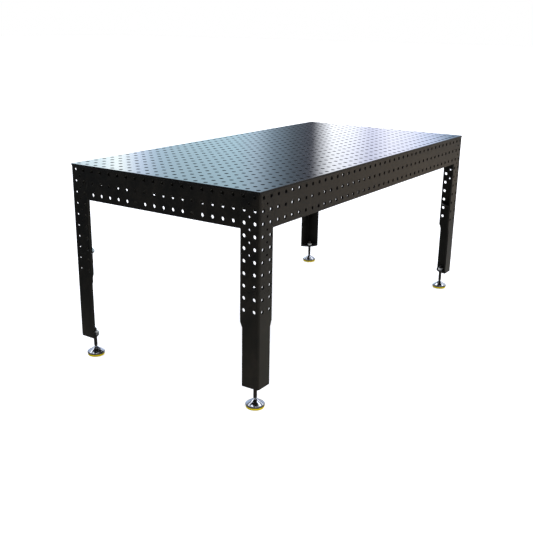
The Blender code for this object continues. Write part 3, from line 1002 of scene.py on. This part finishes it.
def make_stud():
    """Threaded rod with a chamfered tip, a neck and the ball it stands on."""
    low, high = 14.0, 102.0 - 0.9          # above the ball's centre
    columns = 40
    points, faces = thread_rows(low, high, columns)
    mesh = bpy.data.meshes.new("levelling_screw")
    mesh.from_pydata((np.array(points) * MM).tolist(), [], faces)
    bm = clean(mesh, 2e-6)
    # drop whatever was pinched flat against the end planes
    flat = [
        f
        for f in bm.faces
        if all(abs(v.co.z - low * MM) < 1e-7 for v in f.verts)
        or all(abs(v.co.z - high * MM) < 1e-7 for v in f.verts)
    ]
    bmesh.ops.delete(bm, geom=flat, context="FACES")
    for edge_loop_z, rows in (
        (high, [(CORE_R - 0.55, high + 0.75), (CORE_R - 0.9, high + 0.9), (0.0, high + 0.9)]),
        (
            low,
            [(6.4, low - 0.4), (3.8, low - 1.4), (3.8, 6.62)]
            + [
                (7.5 * math.sin(math.radians(a)), 7.5 * math.cos(math.radians(a)))
                for a in range(32, 180, 8)
            ]
            + [(0.0, -7.5)],
        ),
    ):
        rim = [v for v in bm.verts if abs(v.co.z - edge_loop_z * MM) < 1e-7]
        rim = [v for v in rim if any(e.is_boundary for e in v.link_edges)]
        rim.sort(key=lambda v: math.atan2(v.co.y, v.co.x))
        previous = rim
        for r, z in rows:
            if r < 1e-6:
                tip = bm.verts.new((0, 0, z * MM))
                for i, v in enumerate(previous):
                    bm.faces.new((v, previous[(i + 1) % len(previous)], tip))
                break
            level = []
            for v in rim:
                a = math.atan2(v.co.y, v.co.x)
                level.append(bm.verts.new((r * MM * math.cos(a), r * MM * math.sin(a), z * MM)))
            for i in range(len(previous)):
                j = (i + 1) % len(previous)
                bm.faces.new((previous[i], previous[j], level[j], level[i]))
            previous = level
    bmesh.ops.recalc_face_normals(bm, faces=bm.faces)
    bm.to_mesh(mesh)
    bm.free()
    mesh.materials.append(STUD)
    mesh.shade_smooth()
    mesh.set_sharp_from_angle(angle=math.radians(32))
    return mesh


def make_nut():
    """A hexagon nut, chamfered at 30 degrees on both faces, with a countersunk bore."""
    height = nut_high.z - nut_low.z
    flat_r = (nut_high.x - nut_low.x) / 2
    corner_r = flat_r / math.cos(math.pi / 6)
    sides = 72
    # Each radial line of the nut: the bore, the countersink, the face and the chamfer
    points, faces, rows = [], [], []
    drop = math.tan(math.radians(30))
    for k in range(sides):
        a = 2 * math.pi * k / sides
        away = (a % (math.pi / 3)) - math.pi / 6
        # flats face +Y, as on the solid; corners lie between
        wall = flat_r / math.cos(away)
        fall = max(0.0, (wall - flat_r * 0.97) * drop)
        line = [
            (8.15, 0.9),
            (9.0, 0.0),
            (flat_r * 0.97, 0.0),
            (wall, fall),
            (wall, height - fall),
            (flat_r * 0.97, height),
            (9.0, height),
            (8.15, height - 0.9),
        ]
        a += math.pi / 6 * 0
        rows.append([len(points) + i for i in range(len(line))])
        points += [(r * math.cos(a), r * math.sin(a), z) for r, z in line]
    count = len(rows[0])
    for k in range(sides):
        p, q = rows[k], rows[(k + 1) % sides]
        for i in range(count):
            j = (i + 1) % count
            faces.append((p[i], q[i], q[j], p[j]))
    return points, faces


stud_mesh = make_stud()
nut_points, nut_faces = make_nut()

cavity = 9.6
bell_profile = rounded(
    [
        (6.75, 6.9),
        (7.0, 10.0),
        (7.9, 10.0),
        (8.8, 8.7),
        (24.0, -2.5),
        (37.9, -11.2),
        (40.0, -13.6),
        (40.0, -20.0),
        (38.7, -20.0),
        (38.5, -17.6),
        (cavity, -17.6),
        (cavity, 0.0),
        (8.7, 4.1),
    ],
    [0, 0.4, 0.5, 1.6, 9.0, 2.4, 1.6, 0.4, 0.3, 0.4, 0.3, 2.0, 0],
    5,
)
pad_profile = rounded(
    [
        (0.0, -9.7),
        (9.3, -9.7),
        (9.3, -18.1),
        (38.1, -18.1),
        (38.4, -20.4),
        (38.7, -21.0),
        (38.6, -26.4),
        (36.8, -30.0),
        (33.5, -30.0),
        (32.7, -29.2),
        (30.3, -29.2),
        (29.5, -30.0),
        (22.5, -30.0),
        (21.7, -29.2),
        (19.3, -29.2),
        (18.5, -30.0),
        (0.0, -30.0),
    ],
    [0, 0.4, 0.4, 0.3, 0.3, 0.3, 2.5, 1.2, 0.3, 0.3, 0.3, 0.3, 0.3, 0.3, 0.3, 0.3, 0],
    4,
)
bell_master = pad_master = stud_master = nut_master = None
for corner, (sx, sy, turn) in CORNERS.items():
    x, y = sx * FOOT_X, sy * FOOT_Y
    ball = at(x, y, BALL_Z)
    if bell_master is None:
        bell = bell_master = lathe("swivel_bell_" + corner, bell_profile, CHROME, 96, 28.0, closed=True)
        bell.matrix_world = ball
        pad = pad_master = lathe("rubber_pad_" + corner, pad_profile, RUBBER, 96, 28.0)
        pad.matrix_world = ball
        stud = stud_master = bpy.data.objects.new("levelling_screw_" + corner, stud_mesh)
        bpy.context.scene.collection.objects.link(stud)
        stud.matrix_world = ball
        nut = nut_master = make(
            "hex_nut_" + corner, nut_points, nut_faces, None, [ZINC], at(x, y, nut_low.z), 24.0
        )
    else:
        bell = copy_of(bell_master, "swivel_bell_" + corner, ball)
        pad = copy_of(pad_master, "rubber_pad_" + corner, ball)
        stud = copy_of(stud_master, "levelling_screw_" + corner, ball)
        nut = copy_of(nut_master, "hex_nut_" + corner, at(x, y, nut_low.z))
    for piece, body, node, slot in (
        (bell, "foot_" + corner, "foot_bell_" + corner, "polished_bell"),
        (pad, "foot_" + corner, "foot_pad_" + corner, "yellow_rubber"),
        (stud, "stud_" + corner, "levelling_stud_" + corner, "stud_steel"),
        (nut, "nut_" + corner, "lock_nut_" + corner, "zinc"),
    ):
        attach(piece, body)
        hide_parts(node)

for name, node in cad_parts.items():
    if name.startswith(("ball_seat", "ball_retainer")):
        for slot in node.material_slots:
            slot.material = NYLON

# ================================================================ floor and light
floor_mesh = bpy.data.meshes.new("floor")
bm = bmesh.new()
bmesh.ops.create_grid(bm, x_segments=1, y_segments=1, size=60.0)
bm.to_mesh(floor_mesh)
bm.free()
floor_material = bpy.data.materials.new("pale_floor")
floor_material.use_nodes = True
tree = floor_material.node_tree
shader = tree.nodes["Principled BSDF"]
shader.inputs["Base Color"].default_value = (0.86, 0.86, 0.865, 1.0)
shader.inputs["Roughness"].default_value = 0.9
shader.inputs["Specular IOR Level"].default_value = 0.1
shader.inputs["Emission Color"].default_value = (1.0, 1.0, 1.0, 1.0)
shader.inputs["Emission Strength"].default_value = 0.62
# The steel mirrors and is lit by a dimmer, warmer floor than the one that is seen, with bands of light and shade
# painted across it.
bounce = tree.nodes.new("ShaderNodeBsdfDiffuse")
where = tree.nodes.new("ShaderNodeTexCoord")
apart = tree.nodes.new("ShaderNodeSeparateXYZ")
tree.links.new(where.outputs["Object"], apart.inputs[0])
across = tree.nodes.new("ShaderNodeMath")
across.operation = "SUBTRACT"
tree.links.new(apart.outputs["X"], across.inputs[0])
tree.links.new(apart.outputs["Y"], across.inputs[1])


def scaled_by(value, share):
    node = tree.nodes.new("ShaderNodeMath")
    node.operation = "MULTIPLY"
    node.inputs[1].default_value = share
    tree.links.new(value, node.inputs[0])
    return node.outputs[0]


spread = tree.nodes.new("ShaderNodeMapRange")
spread.inputs["From Min"].default_value = -12.0
spread.inputs["From Max"].default_value = 12.0
tree.links.new(across.outputs[0], spread.inputs["Value"])
# Painted light and shade: bright and dark bands along the floor's diagonal, seen only in reflections and bounce
# light.
painted_light_bands = tree.nodes.new("ShaderNodeValToRGB")
# (metres along the diagonal, share of the floor's brightness)
BANDS = [
    (-12, (0.09, 0.10, 0.10)),
    (-7.1, (0.09, 0.095, 0.095)),
    (-6.3, (0.15, 0.17, 0.17)),
    (-5.3, (0.16, 0.18, 0.18)),
    (-4.2, (0.10, 0.105, 0.10)),
    (-3.1, (0.08, 0.09, 0.085)),
    (-2.5, (0.22, 0.22, 0.19)),
    (-2.0, (0.42, 0.40, 0.33)),
    (-1.2, (0.64, 0.60, 0.49)),
    (0.4, (0.96, 0.89, 0.72)),
    (2.5, (0.68, 0.64, 0.56)),
    (4.2, (0.33, 0.33, 0.30)),
    (5.2, (0.42, 0.40, 0.36)),
    (5.7, (0.72, 0.64, 0.53)),
    (6.2, (0.98, 0.85, 0.65)),
    (6.9, (0.98, 0.82, 0.63)),
    (7.4, (0.66, 0.60, 0.50)),
    (8.2, (0.46, 0.43, 0.37)),
    (9.4, (0.40, 0.37, 0.32)),
    (12, (0.40, 0.37, 0.32)),
]
stops = painted_light_bands.color_ramp.elements
while len(stops) < len(BANDS):
    stops.new(0.5)
for stop, (metres, colour) in zip(stops, BANDS):
    stop.position = (metres + 12) / 24
    stop.color = (*colour, 1.0)
tree.links.new(spread.outputs[0], painted_light_bands.inputs["Fac"])
tree.links.new(painted_light_bands.outputs["Color"], bounce.inputs["Color"])
# A warm pool of sunlight painted on the floor a few metres off, glowing there, which the long side mirrors.
reach = tree.nodes.new("ShaderNodeVectorMath")
reach.operation = "DISTANCE"
tree.links.new(where.outputs["Object"], reach.inputs[0])
reach.inputs[1].default_value = (3.8, -2.4, 0.0)
patch = tree.nodes.new("ShaderNodeMapRange")
patch.interpolation_type = "SMOOTHSTEP"
patch.inputs["From Min"].default_value = 1.1
patch.inputs["From Max"].default_value = 0.3
tree.links.new(reach.outputs["Value"], patch.inputs["Value"])
glow = tree.nodes.new("ShaderNodeEmission")
glow.inputs["Color"].default_value = (1.0, 0.66, 0.34, 1.0)
tree.links.new(scaled_by(patch.outputs[0], 3.2), glow.inputs["Strength"])
lit_floor = tree.nodes.new("ShaderNodeAddShader")
tree.links.new(bounce.outputs[0], lit_floor.inputs[0])
tree.links.new(glow.outputs[0], lit_floor.inputs[1])
seen = tree.nodes.new("ShaderNodeLightPath")
either = tree.nodes.new("ShaderNodeMixShader")
tree.links.new(seen.outputs["Is Camera Ray"], either.inputs[0])
tree.links.new(lit_floor.outputs[0], either.inputs[1])
tree.links.new(shader.outputs[0], either.inputs[2])
tree.links.new(either.outputs[0], tree.nodes["Material Output"].inputs["Surface"])
floor_mesh.materials.append(floor_material)
floor = bpy.data.objects.new("floor", floor_mesh)
floor.location.z = -0.0003
bpy.context.scene.collection.objects.link(floor)
floor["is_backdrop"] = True

# A soft studio sky: broad pale panels round the horizon, an even ceiling, and plain
# white behind everything the camera sees.
world = bpy.data.worlds.new("studio")
bpy.context.scene.world = world
world.use_nodes = True
tree = world.node_tree
tree.nodes.clear()
out = tree.nodes.new("ShaderNodeOutputWorld")
coords = tree.nodes.new("ShaderNodeTexCoord")
split = tree.nodes.new("ShaderNodeSeparateXYZ")
tree.links.new(coords.outputs["Generated"], split.inputs[0])


def world_math(kind, a, b):
    node = tree.nodes.new("ShaderNodeMath")
    node.operation = kind
    for socket, value in zip(node.inputs, (a, b)):
        if isinstance(value, (int, float)):
            socket.default_value = value
        else:
            tree.links.new(value, socket)
    return node.outputs[0]


heading = world_math("ARCTAN2", split.outputs["Y"], split.outputs["X"])
turnaround = world_math("ADD", world_math("MULTIPLY", heading, 1 / (2 * math.pi)), 0.5)
panels = tree.nodes.new("ShaderNodeValToRGB")
# (heading in degrees, colour)
PANELS = [
    (-180, (0.20, 0.22, 0.24)),
    (-150, (0.42, 0.43, 0.45)),
    (-120, (1.10, 1.06, 1.00)),
    (-60, (1.60, 1.52, 1.42)),
    (-20, (1.50, 1.46, 1.40)),
    (0, (0.62, 0.70, 0.90)),
    (12, (0.58, 0.68, 0.92)),
    (21.5, (0.36, 0.50, 0.68)),
    (22.5, (1.11, 1.27, 1.67)),
    (23.5, (1.63, 1.77, 2.09)),
    (24.5, (1.56, 1.56, 2.01)),
    (25.5, (1.87, 1.93, 2.22)),
    (26.5, (1.24, 1.28, 1.63)),
    (27.5, (1.42, 1.52, 1.89)),
    (28.5, (2.19, 2.24, 2.42)),
    (29.5, (2.17, 2.23, 2.36)),
    (30.1, (0.06, 0.07, 0.11)),
    (31.5, (0.12, 0.12, 0.14)),
    (33.5, (0.22, 0.32, 0.40)),
    (34.5, (0.73, 0.91, 1.11)),
    (36.5, (0.84, 1.19, 1.38)),
    (40.5, (0.81, 1.12, 1.29)),
    (42.5, (0.86, 1.15, 1.40)),
    (43.5, (1.19, 1.43, 1.83)),
    (44.5, (2.45, 2.64, 2.57)),
    (45.5, (1.82, 2.06, 2.17)),
    (46.5, (1.59, 1.93, 2.07)),
    (52, (0.95, 1.20, 1.45)),
    (62, (0.46, 0.60, 0.86)),
    (90, (0.62, 0.70, 0.85)),
    (130, (0.38, 0.43, 0.48)),
    (180, (0.20, 0.22, 0.24)),
]
elements = panels.color_ramp.elements
while len(elements) < len(PANELS):
    elements.new(0.5)
for element, (degrees, colour) in zip(elements, PANELS):
    element.position = degrees / 360 + 0.5
    element.color = (*colour, 1.0)
tree.links.new(turnaround, panels.inputs["Fac"])
rise = tree.nodes.new("ShaderNodeMapRange")
rise.interpolation_type = "SMOOTHSTEP"
rise.inputs["From Min"].default_value = 0.28
rise.inputs["From Max"].default_value = 0.62
tree.links.new(split.outputs["Z"], rise.inputs["Value"])
mix = tree.nodes.new("ShaderNodeMix")
mix.data_type = "RGBA"
tree.links.new(rise.outputs[0], mix.inputs[0])
tree.links.new(panels.outputs["Color"], mix.inputs[6])
# Overhead, parallel strip lights with darker ceiling between them.
side = world_math(
    "ADD", world_math("MULTIPLY", split.outputs["X"], 0.56), world_math("MULTIPLY", split.outputs["Y"], -0.83)
)
side = world_math("DIVIDE", side, world_math("MAXIMUM", split.outputs["Z"], 0.2))
wave = world_math("SINE", world_math("MULTIPLY", side, 2 * math.pi / 0.46), 0.0)
lit = tree.nodes.new("ShaderNodeMapRange")
lit.interpolation_type = "SMOOTHSTEP"
lit.inputs["From Min"].default_value = -0.25
lit.inputs["From Max"].default_value = 0.25
tree.links.new(wave, lit.inputs["Value"])
strips = tree.nodes.new("ShaderNodeMix")
strips.data_type = "RGBA"
strips.inputs[6].default_value = (0.08, 0.085, 0.10, 1.0)
strips.inputs[7].default_value = (2.3, 2.4, 2.65, 1.0)
tree.links.new(lit.outputs[0], strips.inputs[0])
high_up = tree.nodes.new("ShaderNodeMapRange")
high_up.interpolation_type = "SMOOTHSTEP"
high_up.inputs["From Min"].default_value = 0.35
high_up.inputs["From Max"].default_value = 0.75
tree.links.new(split.outputs["Z"], high_up.inputs["Value"])
ceiling = tree.nodes.new("ShaderNodeMix")
ceiling.data_type = "RGBA"
ceiling.inputs[6].default_value = (0.40, 0.43, 0.50, 1.0)
tree.links.new(high_up.outputs[0], ceiling.inputs[0])
tree.links.new(strips.outputs[2], ceiling.inputs[7])
tree.links.new(ceiling.outputs[2], mix.inputs[7])
soft = tree.nodes.new("ShaderNodeBackground")
tree.links.new(mix.outputs[2], soft.inputs["Color"])
soft.inputs["Strength"].default_value = 1.0
white = tree.nodes.new("ShaderNodeBackground")
white.inputs["Color"].default_value = (1.0, 1.0, 1.0, 1.0)
path = tree.nodes.new("ShaderNodeLightPath")
choose = tree.nodes.new("ShaderNodeMixShader")
tree.links.new(path.outputs["Is Camera Ray"], choose.inputs[0])
tree.links.new(soft.outputs[0], choose.inputs[1])
tree.links.new(white.outputs[0], choose.inputs[2])
tree.links.new(choose.outputs[0], out.inputs["Surface"])
bpy.context.scene.view_settings.view_transform = "Standard"

# ======================================================================== camera
camera_data = bpy.data.cameras.new("camera")
camera = bpy.data.objects.new("camera", camera_data)
bpy.context.scene.collection.objects.link(camera)
right = Vector((0.56532837, -0.82475165, 0.01373132))
down = Vector((-0.24740678, -0.18541899, -0.95100456))
ahead = right.cross(down)
turned = Matrix((right, -down, -ahead)).transposed().to_4x4()
camera.matrix_world = Matrix.Translation((-3.32224, -2.10810, 1.48537)) @ turned
camera_data.sensor_width = 36.0
camera_data.lens = 785.37 / 533 * 36.0
camera_data.shift_x = 0.0007
camera_data.shift_y = 0.02326
camera_data.clip_start, camera_data.clip_end = 0.05, 300.0
bpy.context.scene.camera = camera

low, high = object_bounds()
